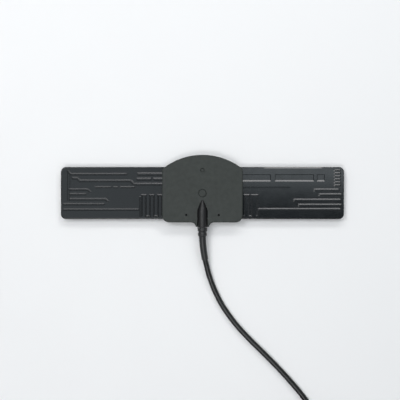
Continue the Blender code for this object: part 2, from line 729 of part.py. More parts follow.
def make_connector():
    """An F connector that lies along -X; each profile runs from the front back to the cable."""
    nickel = paint("connector_nickel", (0.62, 0.6, 0.56), 0.22, 1.0)
    soft = paint("boot_plastic", (0.028, 0.03, 0.032), 0.5)
    white = paint("connector_dielectric", (0.86, 0.86, 0.84), 0.4)
    copper = paint("pin_copper", (0.72, 0.32, 0.16), 0.3, 1.0)
    along = (-1, 0, 0)

    boot = [(0.0, 14.0), (3.2, 14.0), (3.2, 18.0), (5.0, 18.0), (5.2, 17.0), (5.2, 9.0), (4.4, 5.0)]
    boot += [(3.5, 0.5), (3.3, 0.0), (0.0, 0.0)]
    keep(turned("connector_boot", boot, PLUG_START, along), soft)

    body = [(2.5, 24.1), (4.2, 24.1), (4.2, 22.9), (3.6, 22.9), (3.6, 20.3), (5.0, 20.3), (5.0, 18.3)]
    body += [(2.9, 18.3), (2.9, 14.3), (2.5, 14.3)]
    keep(turned("connector_body", body, PLUG_START, along), nickel)

    core = [(0.8, 23.9), (2.2, 23.9), (2.2, 14.6), (0.8, 14.6)]
    keep(turned("connector_insulator", core, PLUG_START, along, 24), white)
    pin = [(0.0, 33.2), (0.5, 32.6), (0.5, 14.6), (0.0, 14.6)]
    keep(turned("connector_pin", pin, PLUG_START, along, 16), copper)

    corner = NUT_ACROSS_FLATS / math.sqrt(3)
    nut = cone("connector_nut", (-NUT_REAR, 0, 0), (-NUT_FRONT, 0, 0), corner, corner, 6)
    chamfer = [(0.0, 32.0), (5.6, 32.0), (8.5, 30.4), (8.5, 21.8), (5.6, 20.2), (0.0, 20.2)]
    round_off = turned("nut_chamfer", chamfer, (0, 0, 0), along)
    bore = [(0.0, 34.0), (5.2, 34.0), (5.2, 31.8), (4.5, 31.0), (4.5, 22.6), (3.9, 22.6), (3.9, 18.0)]
    bore += [(0.0, 18.0)]
    hole = turned("nut_bore", bore, (0, 0, 0), along)
    for thing in (nut, round_off, hole):
        thing.location = Vector(PLUG_START) * MM
    combine(nut, as_cutter(round_off), "INTERSECT")
    cut(nut, hole)
    keep(nut, nickel)


make_panel()
make_elements()
make_hub_cover()
make_hub_base()
make_feet()
make_screws()
make_board()
make_feeds()
make_inner_coax()
make_strain_relief()
make_lead()
make_tie()
make_connector()
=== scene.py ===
import json
import math

import bmesh
import bpy
from mathutils import Matrix, Vector


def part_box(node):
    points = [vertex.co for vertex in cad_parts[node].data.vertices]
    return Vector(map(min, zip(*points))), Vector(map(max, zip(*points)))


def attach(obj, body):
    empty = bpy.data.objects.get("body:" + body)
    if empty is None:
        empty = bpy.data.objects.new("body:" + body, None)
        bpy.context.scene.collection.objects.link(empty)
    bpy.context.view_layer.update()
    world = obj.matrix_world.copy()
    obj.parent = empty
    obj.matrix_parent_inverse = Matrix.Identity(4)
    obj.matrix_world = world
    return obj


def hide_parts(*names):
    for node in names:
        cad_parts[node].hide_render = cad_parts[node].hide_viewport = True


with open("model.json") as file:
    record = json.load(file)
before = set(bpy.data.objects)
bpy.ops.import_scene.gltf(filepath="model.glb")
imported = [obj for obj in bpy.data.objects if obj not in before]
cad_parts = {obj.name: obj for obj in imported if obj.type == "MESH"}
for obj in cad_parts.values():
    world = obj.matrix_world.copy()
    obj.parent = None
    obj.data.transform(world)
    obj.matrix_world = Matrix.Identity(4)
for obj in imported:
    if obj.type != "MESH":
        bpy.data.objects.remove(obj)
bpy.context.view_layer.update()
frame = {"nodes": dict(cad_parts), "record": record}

# Flat bar television antenna: fine shapes and materials over the CAD frame.
# Sizes and places are in millimetres, and MM turns them into metres.
MM = 0.001
BODY = "antenna"
NUT_BODY = "coupling_nut"


def cad_box(node):
    """A CAD node's lowest and highest corners in millimetres."""
    low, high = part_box(node)
    return Vector(low) / MM, Vector(high) / MM


PANEL_LOW, PANEL_HIGH = cad_box("panel_front")
HUB_LOW, HUB_HIGH = cad_box("hub_cover")
# The gap between parts that fit together
GAP = 0.3
# How far a cutter reaches past a surface it opens, once or a few times over
CLEAR = 1.0

# Panel
PANEL_CORNER = 5.0
PANEL_EDGE = 0.9
PANEL_FACE = 7.7
PANEL_WALL = 1.6
PANEL_SKIN = 1.2
# The opening inside the hub: half its width, its lowest and its highest y
WINDOW = (26.0, -14.0, 18.0)
WINDOW_CORNER = 2.0
# The way through the panel for a screw post: lowest z, highest z and radius
PASSAGE = (2.0, 11.0, 3.6)

# Hub; HUB_ARC is the radius of its arched top
HUB_HALF_WIDTH = HUB_HIGH.x
HUB_ARC = 63.3
HUB_ARC_CENTRE = -27.7
HUB_SHOULDER = 4.0
HUB_BOTTOM_Y = -31.0
HUB_CORNER = 7.0
NECK_HALF_WIDTH = 6.7
NECK_FLARE = 4.2
NECK_END_Y = -35.3
COVER_TOP = 12.0
COVER_WALL = 1.6
COVER_ROOF = COVER_TOP - COVER_WALL
HUB_EDGE = 1.0
# The notch for the panel: its height above the panel's face and its corners' radius
NOTCH_LIFT = 0.55
NOTCH_CORNER = 0.3
BASE_BOTTOM = cad_box("hub_base")[0].z
BASE_FLOOR = 2.0
BASE_TOP = 4.2
BASE_WALL = 1.8
BASE_EDGE = 0.6

# Cable bulge, marks, feet and screws on the hub; EXIT is where the lead leaves
EXIT = (0.0, -35.6, 10.8)
BULGE_RADIUS = 4.9
BULGE_SHOULDER_Y = -19.3
BULGE_TIP_Y = -6.9
CHANNEL_RADIUS = 3.2
BULGE_GAP = 0.4
BULGE_TIP_GAP = 0.6
BULGE_EDGE = 0.35
BULGE_BOW = 0.25
# Marks: middle x, middle y and outer radius
SMALL_MARK = (0.0, 20.4, 2.1)
LARGE_MARK = (0.0, -2.2, 4.1)
MARK_WIDTH = 0.75
MARK_DEPTH = 0.7
MARK_BOTTOM = 0.05
PIN_PLACES = ((-16.0, -23.7), (16.0, -23.7))
SCREW_PLACES = ((-16.0, 27.8), (16.0, 27.8), (-30.0, -21.0), (30.0, -21.0))
FOOT_PLACES = ((-31.0, 13.0), (31.0, 13.0), (-16.5, -24.5), (16.5, -24.5))
BOARD_POST_PLACES = ((-17.0, 12.0), (17.0, -8.5))
# Upright rods added or cut at such places: operation, name, lowest z, highest z, lower and upper radius
PIN_RODS = (("DIFFERENCE", "pin", COVER_ROOF - 1.0, 14.0, 1.1, 1.15),)
POST_RODS = (
    ("UNION", "post", HUB_LOW.z, COVER_ROOF + 0.5, 2.9, 2.9),
    ("DIFFERENCE", "pilot", 2.0, COVER_ROOF - 0.6, 1.3, 1.3),
)
SEAT_RODS = (
    ("UNION", "seat", 1.5, 4.0, 4.2, 4.2),
    ("DIFFERENCE", "way", 0.0, 6.0, 1.5, 1.5),
    ("DIFFERENCE", "recess", -1.0, 2.6, 2.95, 2.8),
)
FOOT_RODS = (("DIFFERENCE", "foot_recess", -1.0, 1.3, 4.35, 4.3),)
BOARD_RODS = (
    ("UNION", "board_post", 1.5, 4.3, 2.4, 2.4),
    ("DIFFERENCE", "board_pilot", 2.2, 6.0, 1.0, 1.0),
)
# A foot's outline: (radius, height)
FOOT_PROFILE = (
    (0.05, 0.0),
    (3.2, 0.0),
    (3.5, 0.04),
    (3.78, 0.16),
    (3.95, 0.36),
    (4.0, 0.6),
    (4.0, 1.0),
    (0.05, 1.0),
)
# Screws; the tip's and head's outlines are (radius, height above SCREW_BOTTOM)
SCREW_BOTTOM = 1.0
SCREW_TIP = ((0.05, 8.4), (0.5, 8.1), (0.8, 7.3))
SCREW_HEAD = ((1.05, 1.3), (2.3, 1.3), (2.4, 1.15), (2.38, 0.7), (2.2, 0.3), (1.85, 0.06), (0.05, 0.0))
SCREW_THREAD_TOP = 7.0
SCREW_THREAD_BOTTOM = 2.0
SCREW_PITCH = 0.7
SCREW_RIDGE_RADIUS = 1.15
SCREW_ROOT_RADIUS = 0.85
# A screw slot's deep and open ends: z, half its length and half its width
SLOT_ENDS = ((1.75, 0.585, 0.2917), (0.7, 1.43, 0.3526))
SLOT_TURNS = (0.2, 0.2 + math.pi / 2)

# Lead
CABLE_RADIUS = 2.7
CABLE_STEP = 2.2
SPLINE_STEPS = 20
RELIEF_ROUTE = (
    (0.0, -36.0, 10.8),
    (0.0, -40.0, 10.8),
    (0.0, -44.2, 10.75),
    (0.3, -50.0, 10.4),
    (0.75, -55.0, 9.85),
    (1.35, -60.0, 9.0),
    (2.0, -64.2, 8.15),
)
# Distance along the strain relief and the radius there, as far as the sleeve's start
RELIEF_PROFILE = (
    (0.0, 3.0),
    (0.05, 4.45),
    (0.25, 4.72),
    (3.3, 4.78),
    (3.6, 4.6),
    (3.8, 4.15),
    (5.2, 4.1),
    (5.5, 4.3),
    (5.9, 4.42),
    (7.6, 4.42),
    (8.0, 4.28),
    (8.3, 3.75),
    (9.4, 3.5),
    (12.0, 3.42),
)
RELIEF_STEP = 0.25
SLEEVE_TAPER = 0.17
SLEEVE_LENGTH = 19.5
# The rounding at the sleeve's far end: its length and depth
SLEEVE_END = (0.6, 0.35)
LEAD_ROUTE = (
    (2.6, -67.9, 7.4),
    (4.1, -74.0, 6.0),
    (6.4, -83.0, 4.3),
    (10.2, -94.0, 3.1),
    (14.4, -103.5, 2.7),
    (20.2, -114.4, 2.7),
    (29.6, -127.9, 2.7),
    (38.0, -138.0, 2.7),
    (48.5, -149.0, 2.7),
    (60.5, -160.8, 2.7),
    (73.5, -174.0, 2.7),
    (86.0, -187.5, 2.7),
    (97.5, -201.0, 2.8),
    (107.2, -213.6, 3.1),
)
TAIL_ROUTE = (
    (84.0, -294.9, 8.8),
    (76.0, -295.7, 8.4),
    (69.0, -295.9, 7.9),
    (61.0, -295.8, 7.2),
    (53.0, -295.5, 6.8),
    (46.5, -295.4, 6.7),
    (43.5, -295.4, 6.7),
)
COIL_CENTRE = (93.0, -256.0)
COIL_OUTER = 38.175
COIL_PITCH = 5.45
COIL_LOW_Z = 3.5
COIL_START = 40.0
COIL_TURNED = 7 * 360 + 130
COIL_LAYS_ACROSS = 4
# Degrees turned where the coil first steps inward, climbs to its top layer and first steps outward
COIL_INWARD_AT = 300
COIL_CLIMB_AT = 1290
COIL_OUTWARD_AT = 1740
COIL_STEP_SPAN = 50
COIL_CLIMB_SPAN = 90

# Tie
TIE_ANGLE = 160.0
TIE_INNER = 18.0
TIE_LOW_Z = 0.25
TIE_GAP = 0.55
TIE_CORNER = 2.2
TIE_HALF_WIDTH = 3.4
TIE_END_HALF_WIDTH = 3.3
TIE_HALF_THICKNESS = 0.22
# The strap's free end on top of the coil: distance from the coil's middle and height over the loop
TIE_END = ((35.5, 0.5), (32.0, 0.52), (28.5, 0.5), (25.5, 0.62))

# Connector; distances run from the cable's end towards the tip
PLUG_START = Vector((46.0, -295.4, 6.7))
TOWARDS_TIP = Vector((-1, 0, 0))
RIBS = 4
RIB_START = 0.9
RIB_PITCH = 1.5
RIB_RADIUS = 3.5
RIB_GROWTH = 0.28
RIB_DEPTH = 0.45
NUT_ACROSS_FLATS = 11.1
NUT_ENDS = (20.6, 31.6)
THREAD_START = 23.6
THREAD_END = 31.0
THREAD_PITCH = 0.8
THREAD_RIDGE_RADIUS = 4.5
THREAD_ROOT_RADIUS = 4.8


# ---------------------------------------------------------------- camera, floor and light

VIEW_CENTRE = (-2.4, -8.9)
VIEW_HEIGHT = 941.0
ROOM_BRIGHTNESS = 0.28
CEILING_BRIGHTNESS = 0.08
# How steeply upwards the room starts to darken and where it is darkest: the sine of the angle
CEILING_EDGES = (0.9, 0.97)
FLOOR_HALF_WIDTH = 3000.0
WHITE = (1.0, 1.0, 1.0)
# The colour of the dim boxes above, which the glossy panel mirrors
COOL = (0.86, 0.95, 1.0)


def aim(thing, place, target):
    """Put a camera or light at a place and turn it towards a target."""
    thing.location = Vector(place) * MM
    direction = Vector(target) - Vector(place)
    thing.rotation_euler = direction.to_track_quat("-Z", "Y").to_euler()


def make_camera():
    """Straight above the antenna, with +Y up in the picture."""
    data = bpy.data.cameras.new("camera")
    data.lens = 85.0
    data.sensor_width = 36.0
    data.clip_start = 0.05
    data.clip_end = 50.0
    camera = bpy.data.objects.new("camera", data)
    bpy.context.scene.collection.objects.link(camera)
    aim(camera, (*VIEW_CENTRE, VIEW_HEIGHT), (*VIEW_CENTRE, 0.0))
    bpy.context.scene.camera = camera


def soft_box(name, place, size, brightness, target=(0.0, 0.0, 0.0), colour=WHITE):
    """A rectangular soft box with an evenly bright face."""
    data = bpy.data.lights.new(name, "AREA")
    data.color = colour
    data.shape = "RECTANGLE"
    data.size = size[0] * MM
    data.size_y = size[1] * MM
    data.energy = math.pi * brightness * data.size * data.size_y
    light = bpy.data.objects.new(name, data)
    bpy.context.scene.collection.objects.link(light)
    aim(light, place, target)


def make_room():
    """A pale room whose ceiling above the camera is dark."""
    world = bpy.data.worlds.new("studio")
    world.use_nodes = True
    nodes, links = world.node_tree.nodes, world.node_tree.links
    background = nodes["Background"]
    background.inputs["Color"].default_value = (0.94, 0.965, 1.0, 1.0)
    direction = nodes.new("ShaderNodeTexCoord")
    parts = nodes.new("ShaderNodeSeparateXYZ")
    fade = nodes.new("ShaderNodeMapRange")
    fade.inputs["From Min"].default_value, fade.inputs["From Max"].default_value = CEILING_EDGES
    fade.inputs["To Min"].default_value = ROOM_BRIGHTNESS
    fade.inputs["To Max"].default_value = CEILING_BRIGHTNESS
    links.new(direction.outputs["Generated"], parts.inputs["Vector"])
    links.new(parts.outputs["Z"], fade.inputs["Value"])
    links.new(fade.outputs["Result"], background.inputs["Strength"])
    bpy.context.scene.world = world


def make_light():
    """Soft boxes behind, above, beside and in front of the antenna, in a pale room."""
    make_room()
    soft_box("back_right", (320.0, 1080.0, 960.0), (980.0, 300.0), 6.2)
    soft_box("back_left", (-480.0, 1000.0, 900.0), (620.0, 300.0), 2.8)
    soft_box("above_right", (430.0, 363.0, 1500.0), (740.0, 674.0), 2.0, (430.0, 363.0, 0.0), COOL)
    soft_box("above_left", (-480.0, 175.0, 1500.0), (840.0, 650.0), 0.8, (-480.0, 175.0, 0.0), COOL)
    soft_box("key_upper_left", (-640.0, 470.0, 1450.0), (700.0, 600.0), 6.0)
    soft_box("high_front", (-200.0, -620.0, 1500.0), (800.0, 500.0), 5.6)
    bpy.context.scene.view_settings.view_transform = "Standard"


# ---------------------------------------------------------------- mesh helpers


def linked_mesh(name, shape):
    """Turn a bmesh in millimetres into an object in the scene."""
    bmesh.ops.remove_doubles(shape, verts=shape.verts, dist=0.002)
    bmesh.ops.recalc_face_normals(shape, faces=shape.faces)
    bmesh.ops.scale(shape, vec=(MM, MM, MM), verts=shape.verts)
    mesh = bpy.data.meshes.new(name)
    shape.to_mesh(mesh)
    shape.free()
    thing = bpy.data.objects.new(name, mesh)
    bpy.context.scene.collection.objects.link(thing)
    return thing


def finish_mesh(name, shape, slot, look=None, body=BODY, angle=35.0):
    """Turn a bmesh into a piece that rides on a body, in its slot's material or another look."""
    thing = linked_mesh(name, shape)
    thing.data.shade_smooth()
    thing.data.set_sharp_from_angle(angle=math.radians(angle))
    thing.data.materials.append(MATERIALS[look or slot])
    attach(thing, body)
    return thing


def loft(shape, rings, closed=False):
    """Join rings of equal length with faces; open lofts get caps."""
    made = [[shape.verts.new(point) for point in ring] for ring in rings]
    pairs = list(zip(made, made[1:]))
    if closed:
        pairs.append((made[-1], made[0]))
    for first, second in pairs:
        for i in range(len(first)):
            j = (i + 1) % len(first)
            shape.faces.new((first[i], first[j], second[j], second[i]))
    if not closed:
        shape.faces.new(made[0][::-1])
        shape.faces.new(made[-1])


def circle_ring(radius, steps, frame_axes, centre):
    """A ring of points about a centre, in the plane of two axes."""
    across, up = frame_axes
    ring = []
    for i in range(steps):
        angle = 2 * math.pi * i / steps
        ring.append(centre + radius * (math.cos(angle) * across + math.sin(angle) * up))
    return ring


def axes_about(axis):
    """Two directions square to an axis and to each other."""
    axis = Vector(axis).normalized()
    helper = Vector((0, 0, 1)) if abs(axis.z) < 0.9 else Vector((0, 1, 0))
    across = axis.cross(helper).normalized()
    return across, across.cross(axis).normalized()


def turned(shape, profile, place, axis, steps=48, closed=False):
    """Turn a profile of (radius, distance along the axis)."""
    axis = Vector(axis).normalized()
    place = Vector(place)
    directions = axes_about(axis)
    rings = [circle_ring(r, steps, directions, place + axis * along) for r, along in profile]
    loft(shape, rings, closed)


def swept(shape, centres, radii, steps=24):
    """A round skin along a line of points, its rings square to the line."""
    centres = [Vector(point) for point in centres]
    rings = []
    up = Vector((0, 0, 1))
    for i, centre in enumerate(centres):
        ahead = centres[min(i + 1, len(centres) - 1)] - centres[max(i - 1, 0)]
        across = ahead.cross(up).normalized()
        lift = across.cross(ahead).normalized()
        rings.append(circle_ring(radii[i], steps, (across, lift), centre))
    loft(shape, rings)


def arc(centre, radius, start, end, steps):
    """Points along an arc, its ends given in degrees."""
    x, y = centre
    angles = [math.radians(start + (end - start) * i / steps) for i in range(steps + 1)]
    return [(x + radius * math.cos(a), y + radius * math.sin(a)) for a in angles]


def rectangle(x_range, y_range, corner, steps=8):
    """Points round a rectangle with rounded corners."""
    (x0, x1), (y0, y1) = x_range, y_range
    places = ((x1 - corner, y1 - corner), (x0 + corner, y1 - corner))
    places += ((x0 + corner, y0 + corner), (x1 - corner, y0 + corner))
    outline = []
    for quarter, place in enumerate(places):
        outline += arc(place, corner, 90 * quarter, 90 * quarter + 90, steps)
    return outline


def ease(t):
    """0 before 0, 1 after 1 and smooth between."""
    t = min(max(t, 0.0), 1.0)
    return t * t * (3 - 2 * t)


def rounded_block(outline, z_range, low_edge, high_edge, steps=5):
    """A bmesh block over an outline function, its lower and upper edges rounded."""
    low, high = z_range
    rings = []
    quarter = [math.pi / 2 * i / steps for i in range(steps + 1)]
    for a in quarter if low_edge else [math.pi / 2]:
        inset = low_edge * (1 - math.sin(a))
        rings.append([(x, y, low + low_edge * (1 - math.cos(a))) for x, y in outline(inset)])
    for a in quarter:
        inset = high_edge * (1 - math.cos(a))
        rings.append([(x, y, high - high_edge * (1 - math.sin(a))) for x, y in outline(inset)])
    shape = bmesh.new()
    loft(shape, rings)
    return shape


# A face whose normal is this near to vertical is level, and shaded flat.
LEVEL = 0.9999


def carve(thing, tools, angle=32.0):
    """Apply Boolean tools of (operation, object) in turn, then drop them."""
    for operation, tool in tools:
        modifier = thing.modifiers.new(tool.name, "BOOLEAN")
        modifier.operation = operation
        modifier.solver = "EXACT"
        modifier.object = tool
    graph = bpy.context.evaluated_depsgraph_get()
    mesh = bpy.data.meshes.new_from_object(thing.evaluated_get(graph))
    thing.modifiers.clear()
    old = thing.data
    thing.data = mesh
    bpy.data.meshes.remove(old)
    for _, tool in tools:
        bpy.data.objects.remove(tool, do_unlink=True)
    mesh.shade_smooth()
    mesh.set_sharp_from_angle(angle=math.radians(angle))
    for face in mesh.polygons:
        face.use_smooth = abs(face.normal.z) < LEVEL


def prism(name, outline, z_range):
    """A cutter with upright sides over an outline."""
    shape = bmesh.new()
    loft(shape, [[(x, y, z) for x, y in outline] for z in z_range])
    return linked_mesh(name, shape)


def rod(name, start, end, start_radius, end_radius, steps=32):
    """A round cutter or addition between two places."""
    shape = bmesh.new()
    start, end = Vector(start), Vector(end)
    turned(shape, [(start_radius, 0.0), (end_radius, (end - start).length)], start, end - start, steps)
    return linked_mesh(name, shape)


def upright_tools(places, kinds, steps=32):
    """Boolean tools for carve: every kind of upright rod at every place."""
    tools = []
    for i, place in enumerate(places):
        for operation, name, low, high, low_radius, high_radius in kinds:
            tool = rod(f"{name}_{i}", (*place, low), (*place, high), low_radius, high_radius, steps)
            tools.append((operation, tool))
    return tools


# ---------------------------------------------------------------- materials

# Most of a noise texture's factors lie between these.
NOISE_LOW = 0.3
NOISE_HIGH = 0.7


def stretched_place(tree, stretch):
    """Object coordinates, stretched along each axis."""
    place = tree.nodes.new("ShaderNodeTexCoord")
    mapping = tree.nodes.new("ShaderNodeMapping")
    mapping.inputs["Scale"].default_value = stretch
    tree.links.new(place.outputs["Object"], mapping.inputs["Vector"])
    return mapping.outputs["Vector"]


def noise(tree, place, scale, detail):
    """The factor of a noise texture."""
    texture = tree.nodes.new("ShaderNodeTexNoise")
    texture.inputs["Scale"].default_value = scale
    texture.inputs["Detail"].default_value = detail
    tree.links.new(place, texture.inputs["Vector"])
    return texture.outputs["Fac"]


def mottled(tree, factor, colour, tint):
    """A colour that varies a little to both sides."""
    ramp = tree.nodes.new("ShaderNodeValToRGB")
    dark, light = ramp.color_ramp.elements
    dark.position, light.position = NOISE_LOW, NOISE_HIGH
    dark.color = (*[c * (1 - tint) for c in colour], 1.0)
    light.color = (*[c * (1 + tint) for c in colour], 1.0)
    tree.links.new(factor, ramp.inputs["Fac"])
    return ramp.outputs["Color"]


def uneven(tree, factor, middle, spread):
    """A value that varies by a spread to both sides of its middle."""
    levels = tree.nodes.new("ShaderNodeMapRange")
    levels.inputs["From Min"].default_value = NOISE_LOW
    levels.inputs["From Max"].default_value = NOISE_HIGH
    levels.inputs["To Min"].default_value = middle - spread
    levels.inputs["To Max"].default_value = middle + spread
    tree.links.new(factor, levels.inputs["Value"])
    return levels.outputs["Result"]


def grained(tree, factor, strength):
    """A normal roughened by a fine grain."""
    relief = tree.nodes.new("ShaderNodeBump")
    relief.inputs["Strength"].default_value = strength
    relief.inputs["Distance"].default_value = 0.1 * MM
    tree.links.new(factor, relief.inputs["Height"])
    return relief.outputs["Normal"]


def surface(name, colour, roughness, metallic=0.0, tint=0.1, mottle=45.0, grain=1600.0, bump=0.12,
            spread=0.06, stretch=(1.0, 1.0, 1.0)):
    """A Principled material with mottled colour, uneven gloss and a fine grain."""
    material = bpy.data.materials.new(name)
    material.use_nodes = True
    tree = material.node_tree
    sockets = tree.nodes["Principled BSDF"].inputs
    sockets["Metallic"].default_value = metallic
    place = stretched_place(tree, stretch)
    wide, worn = noise(tree, place, mottle, 5.0), noise(tree, place, mottle * 6, 4.0)
    tree.links.new(mottled(tree, wide, colour, tint), sockets["Base Color"])
    tree.links.new(uneven(tree, worn, roughness, spread), sockets["Roughness"])
    tree.links.new(grained(tree, noise(tree, place, grain, 2.0), bump), sockets["Normal"])
    return material


MATERIALS = {
    "panel_gloss": surface(
        "panel_gloss", (0.009, 0.011, 0.0125), 0.12, spread=0.02, mottle=25.0, grain=420.0, bump=0.015
    ),
    "line_gloss": surface(
        "line_gloss", (0.009, 0.011, 0.0125), 0.22, spread=0.03, mottle=25.0, grain=420.0, bump=0.02
    ),
    "panel_back_plastic": surface("panel_back_plastic", (0.02, 0.022, 0.024), 0.5, bump=0.3),
    "hub_matt_plastic": surface("hub_matt_plastic", (0.0195, 0.0245, 0.0218), 0.66, tint=0.06, bump=0.35),
    "base_matt_plastic": surface("base_matt_plastic", (0.03, 0.034, 0.032), 0.65, bump=0.35),
    "element_aluminium": surface("element_aluminium", (0.75, 0.76, 0.77), 0.3, 1.0, stretch=(0.1, 1, 1)),
    "board_laminate": surface("board_laminate", (0.02, 0.11, 0.05), 0.35),
    "core_ferrite": surface("core_ferrite", (0.05, 0.05, 0.055), 0.55, bump=0.5),
    "winding_enamel": surface("winding_enamel", (0.5, 0.16, 0.05), 0.3, 0.8),
    "capacitor_ceramic": surface("capacitor_ceramic", (0.42, 0.3, 0.17), 0.45),
    "contact_brass": surface("contact_brass", (0.72, 0.55, 0.25), 0.3, 1.0, stretch=(0.2, 1, 1)),
    "cable_jacket": surface(
        "cable_jacket", (0.0035, 0.0039, 0.0042), 0.31, mottle=80.0, grain=900.0, bump=0.15
    ),
    "coax_dielectric": surface("coax_dielectric", (0.8, 0.8, 0.78), 0.4, tint=0.03),
    "coax_copper": surface("coax_copper", (0.72, 0.32, 0.16), 0.28, 1.0),
    "coax_braid": surface("coax_braid", (0.62, 0.6, 0.57), 0.4, 1.0, bump=0.6),
    # The bulge's rubber is a darker copy of relief_rubber: partly the rubber's own black, partly painted
    # shade for the bulge's unlit right side.
    "shade_darkened_bulge_rubber": surface("shade_darkened_bulge_rubber", (0.005, 0.0056, 0.006), 0.46, bump=0.25),
    "relief_rubber": surface("relief_rubber", (0.012, 0.0135, 0.0142), 0.4, bump=0.3),
    "tie_strap": surface("tie_strap", (0.015, 0.015, 0.017), 0.8, grain=1100.0, bump=0.8),
    "boot_plastic": surface("boot_plastic", (0.0085, 0.0095, 0.01), 0.45, bump=0.25),
    "connector_nickel": surface("connector_nickel", (0.66, 0.64, 0.6), 0.2, 1.0, mottle=160.0, bump=0.08),
    "screw_steel": surface("screw_steel", (0.5, 0.5, 0.5), 0.32, 1.0, bump=0.15),
    "foot_rubber": surface("foot_rubber", (0.015, 0.015, 0.016), 0.85, bump=0.5),
}


def repaint_cad():
    """Give every CAD node that stays shown its slot's material."""
    for entry in frame["record"]["subparts"]:
        node = frame["nodes"][entry["node"]]
        node.data.materials.clear()
        node.data.materials.append(MATERIALS[entry["material_slot"]])


def make_floor():
    """A plain pale table top, faintly uneven so that it isn't a flat fill."""
    shape = bmesh.new()
    bmesh.ops.create_grid(shape, x_segments=2, y_segments=2, size=FLOOR_HALF_WIDTH * MM)
    mesh = bpy.data.meshes.new("floor")
    shape.to_mesh(mesh)
    shape.free()
    floor = bpy.data.objects.new("floor", mesh)
    bpy.context.scene.collection.objects.link(floor)
    paint = surface("floor_paint", (0.838, 0.84, 0.844), 0.6, tint=0.006, mottle=3.0, grain=60.0, bump=0.02)
    mesh.materials.append(paint)


# ---------------------------------------------------------------- lead


def smooth_route(route, step):
    """Points at an even step along a smooth curve through a route's own points."""
    places = [Vector(place) for place in route]
    places = [2 * places[0] - places[1]] + places + [2 * places[-1] - places[-2]]
    fine = []
    for a, b, c, d in zip(places, places[1:], places[2:], places[3:]):
        for i in range(SPLINE_STEPS):
            t = i / SPLINE_STEPS
            pull = (c - a) * t + (2 * a - 5 * b + 4 * c - d) * t**2
            fine.append(b + (pull + (3 * b - a - 3 * c + d) * t**3) / 2)
    fine.append(places[-2])
    total = sum((b - a).length for a, b in zip(fine, fine[1:]))
    spacing = total / round(total / step)
    picked = [fine[0]]
    walked = 0.0
    for a, b in zip(fine, fine[1:]):
        walked += (b - a).length
        while walked >= spacing * len(picked) - 1e-6:
            back = walked - spacing * len(picked)
            picked.append(b.lerp(a, back / max((b - a).length, 1e-9)))
    return picked


def coil_points(turn_step=10.0):
    """Turns laid inward on the floor, then outward on top, all clockwise from above."""
    points = []
    later = [360 * k for k in range(COIL_LAYS_ACROSS - 1)]
    for i in range(int(COIL_TURNED / turn_step) + 1):
        turned_by = i * turn_step
        inward = sum(ease((turned_by - COIL_INWARD_AT - more) / COIL_STEP_SPAN) for more in later)
        outward = sum(ease((turned_by - COIL_OUTWARD_AT - more) / COIL_STEP_SPAN) for more in later)
        climbed = ease((turned_by - COIL_CLIMB_AT) / COIL_CLIMB_SPAN)
        radius = COIL_OUTER - COIL_PITCH * (inward - outward)
        angle = math.radians(COIL_START - turned_by)
        x = COIL_CENTRE[0] + radius * math.cos(angle)
        y = COIL_CENTRE[1] + radius * math.sin(angle)
        points.append((x, y, COIL_LOW_Z + COIL_PITCH * climbed))
    return points


def make_lead():
    """The whole coax in one piece, from the neck to the connector, and its length in metres."""
    route = RELIEF_ROUTE + LEAD_ROUTE + tuple(coil_points()) + TAIL_ROUTE
    points = smooth_route(route, CABLE_STEP)
    curve = bpy.data.curves.new("coax_lead", "CURVE")
    curve.dimensions = "3D"
    curve.bevel_depth = CABLE_RADIUS * MM
    curve.bevel_resolution = 5
    curve.use_fill_caps = True
    line = curve.splines.new("POLY")
    line.points.add(len(points) - 1)
    for point, place in zip(line.points, points):
        point.co = (*(place * MM), 1.0)
    line.use_smooth = True
    lead = bpy.data.objects.new("coax_lead", curve)
    bpy.context.scene.collection.objects.link(lead)
    curve.materials.append(MATERIALS["cable_jacket"])
    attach(lead, BODY)
    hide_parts("coax_cable", "cable_coil", "cable_tail")
    length = sum((b - a).length for a, b in zip(points, points[1:])) * MM
    return lead, length


# ---------------------------------------------------------------- panel

# Raised lines on the panel's face: (width, path). A ridge's sides slope down to the face.
RIDGES = (
    (1.5, ((-133.6, 20.2), (-129.8, 16.65), (-74.1, 16.65))),
    (1.8, ((-129.2, 12.7), (-124.0, 12.7), (-121.2, 10.05), (-71.0, 10.05), (-67.6, 6.75), (-38.0, 6.75))),
    (2.3, ((-64.6, 16.7), (-38.0, 16.7))),
    (2.2, ((-65.2, 11.65), (-50.3, 11.65))),
    (2.2, ((-48.7, 11.65), (-38.0, 11.65))),
    (1.1, ((-106.2, 3.8), (-89.4, 3.8))),
    (1.1, ((-88.1, 3.8), (-82.7, 3.8))),
    (1.1, ((-81.5, 3.8), (-66.5, 3.8))),
    (1.5, ((-132.2, 1.5), (-113.6, 1.5), (-110.2, -1.6))),
    (1.5, ((-131.8, -3.1), (-114.4, -3.1))),
    (1.6, ((-132.0, -8.1), (-95.8, -8.1), (-92.4, -11.0))),
    (1.6, ((-138.0, -13.0), (-96.4, -13.0))),
    (1.6, ((-138.0, -18.4), (-62.4, -18.4))),
    (1.3, ((-61.2, -25.6), (-61.2, -5.0))),
    (1.9, ((109.8, 1.05), (135.4, 1.05))),
    (1.7, ((114.8, -3.6), (138.0, -3.6))),
    (1.9, ((89.9, -8.95), (137.2, -8.95))),
    (1.7, ((94.6, -13.85), (138.0, -13.85))),
    (1.9, ((54.4, -18.2), (137.0, -18.2))),
)
RIDGE_HEIGHT = 0.42
RIDGE_RUN = 0.95
RIDGE_ROOT = 0.4
RIDGE_END_RISE = 0.02
THIN_LINE = 1.1
LEFT_HOOPS = ((-59.8, -56.0), (-51.8, -48.0), (-43.9, -40.1))
RIGHT_HOOPS = ((41.4, 45.8), (49.0, 54.4))
HOOP_FEET = (-24.9, -4.1)
END_BARS = 6
END_BAR_SPAN = (129.8, 136.9)
END_BAR_FIRST = 5.6
END_BAR_PITCH = 2.98

